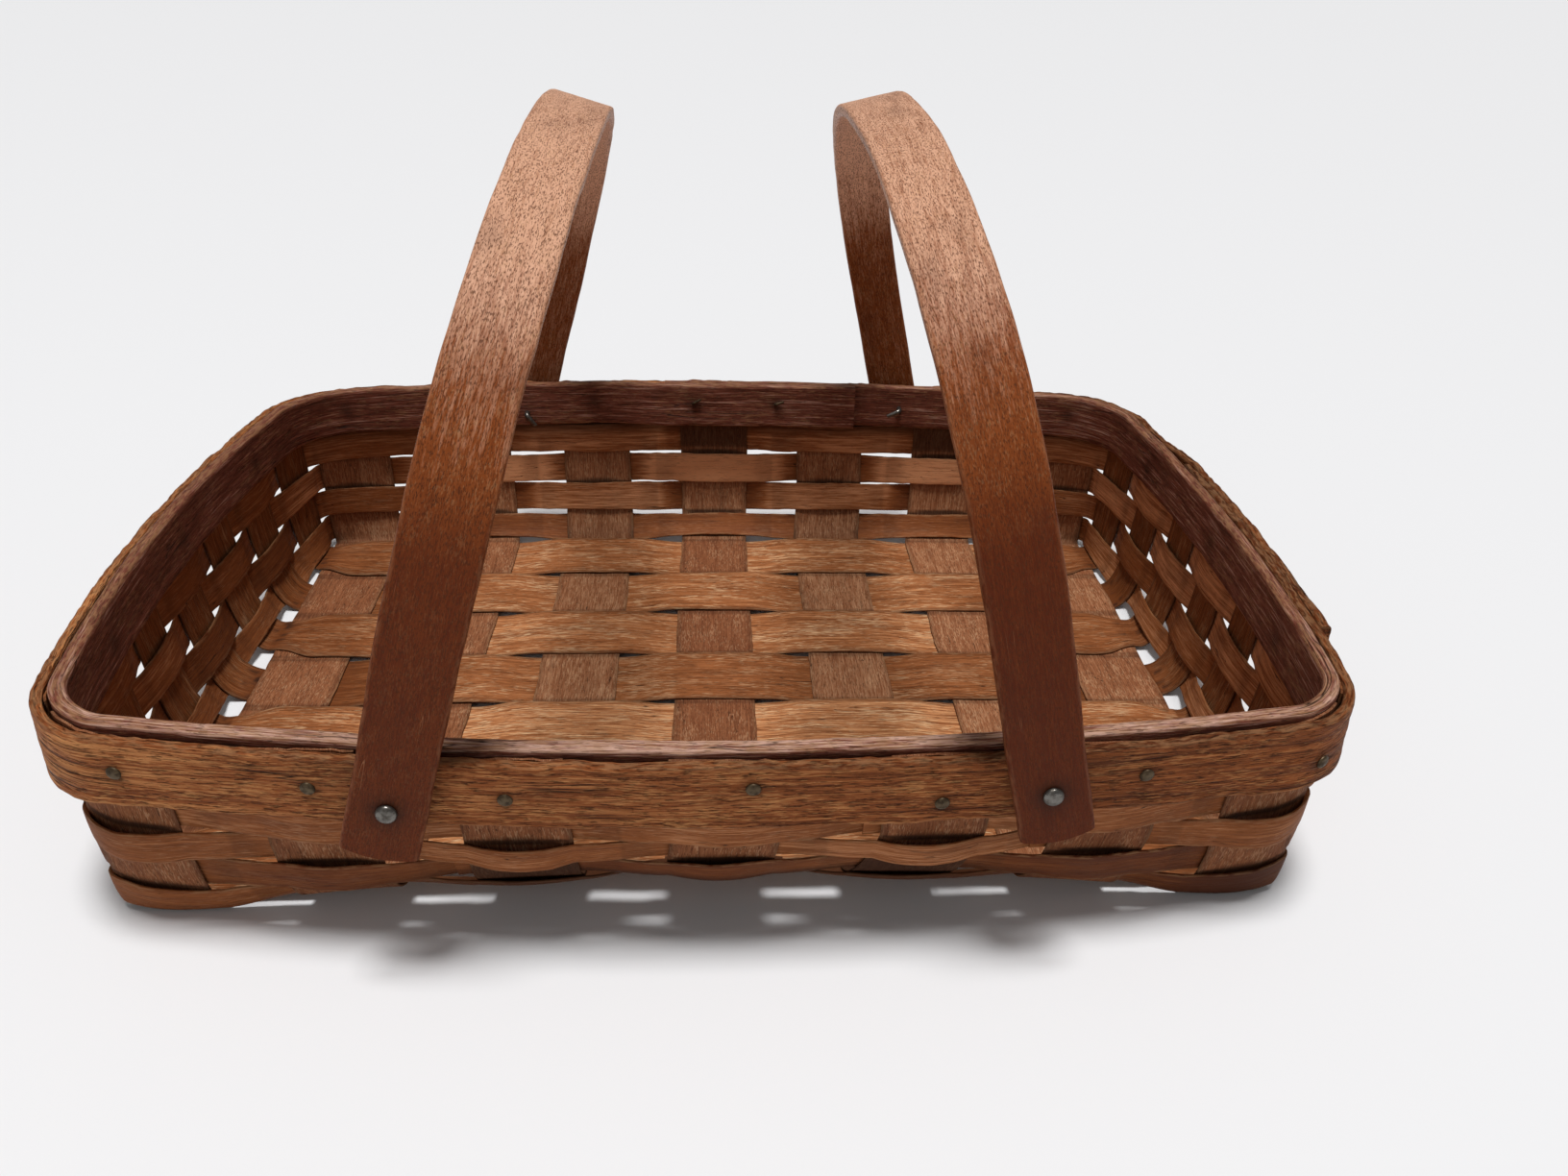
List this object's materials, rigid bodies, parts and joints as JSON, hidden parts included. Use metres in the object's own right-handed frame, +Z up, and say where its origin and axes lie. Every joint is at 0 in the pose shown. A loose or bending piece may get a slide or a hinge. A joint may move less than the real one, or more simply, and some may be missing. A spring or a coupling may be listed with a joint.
{
  "type": "gathering basket",
  "caption": "Low rectangular splint basket with round corners, nailed rim bands and two swinging bentwood handles, for gathering garden and farm produce.",
  "frame": {"origin": "centre of the basket at the surface it stands on", "axes": "+X along the basket to its right end, +Y to its back side, +Z up"},
  "size_m": [0.4962, 0.3646, 0.2673],
  "materials": {
    "cross_splint_wood": "aged, dry, rough-grained brown splint",
    "long_splint_wood": "aged, dry, tan-brown splint with light flecks",
    "weaver_wood": "aged, smooth reddish-brown splint",
    "inner_band_wood": "dark, smooth, purplish-brown bent wood",
    "outer_band_wood": "coarse-grained orange-brown bent wood",
    "handle_wood": "satin reddish-brown bent wood with fine dark pores",
    "rim_nail_metal": "dull, tarnished bronze-brown",
    "pivot_nail_metal": "worn grey steel"
  },
  "bodies": {
    "basket": {"cross_splint_1": "cross_splint_wood", "cross_splint_2": "cross_splint_wood", "cross_splint_3": "cross_splint_wood", "cross_splint_4": "cross_splint_wood", "cross_splint_5": "cross_splint_wood", "cross_splint_6": "cross_splint_wood", "cross_splint_7": "cross_splint_wood", "long_splint_1": "long_splint_wood", "long_splint_2": "long_splint_wood", "long_splint_3": "long_splint_wood", "long_splint_4": "long_splint_wood", "long_splint_5": "long_splint_wood", "long_splint_6": "long_splint_wood", "long_splint_7": "long_splint_wood", "weaver_1": "weaver_wood", "weaver_2": "weaver_wood", "weaver_3": "weaver_wood", "weaver_4": "weaver_wood", "inner_rim_band": "inner_band_wood", "outer_rim_band": "outer_band_wood", "left_pivot_front": "pivot_nail_metal", "left_pivot_back": "pivot_nail_metal", "right_pivot_front": "pivot_nail_metal", "right_pivot_back": "pivot_nail_metal", "front_nail_1": "rim_nail_metal", "front_nail_2": "rim_nail_metal", "front_nail_3": "rim_nail_metal", "front_nail_4": "rim_nail_metal", "front_nail_5": "rim_nail_metal", "front_nail_6": "rim_nail_metal", "front_nail_7": "rim_nail_metal", "back_nail_1": "rim_nail_metal", "back_nail_2": "rim_nail_metal", "back_nail_3": "rim_nail_metal", "back_nail_4": "rim_nail_metal", "back_nail_5": "rim_nail_metal", "back_nail_6": "rim_nail_metal", "back_nail_7": "rim_nail_metal", "left_nail_1": "rim_nail_metal", "left_nail_2": "rim_nail_metal", "left_nail_3": "rim_nail_metal", "right_nail_1": "rim_nail_metal", "right_nail_2": "rim_nail_metal", "right_nail_3": "rim_nail_metal"},
    "left_handle": {"left_handle": "handle_wood"},
    "right_handle": {"right_handle": "handle_wood"}
  },
  "joints": [
    {"name": "left_handle_swing", "type": "hinge", "parent": "basket", "child": "left_handle", "pos_m": [-0.105, 0, 0.0755], "axis": [0, 1, 0], "range_deg": [-122, 14.5]},
    {"name": "right_handle_swing", "type": "hinge", "parent": "basket", "child": "right_handle", "pos_m": [0.108, 0, 0.0795], "axis": [-0.0161, 0.9999, 0], "range_deg": [-15, 121]}
  ]
}
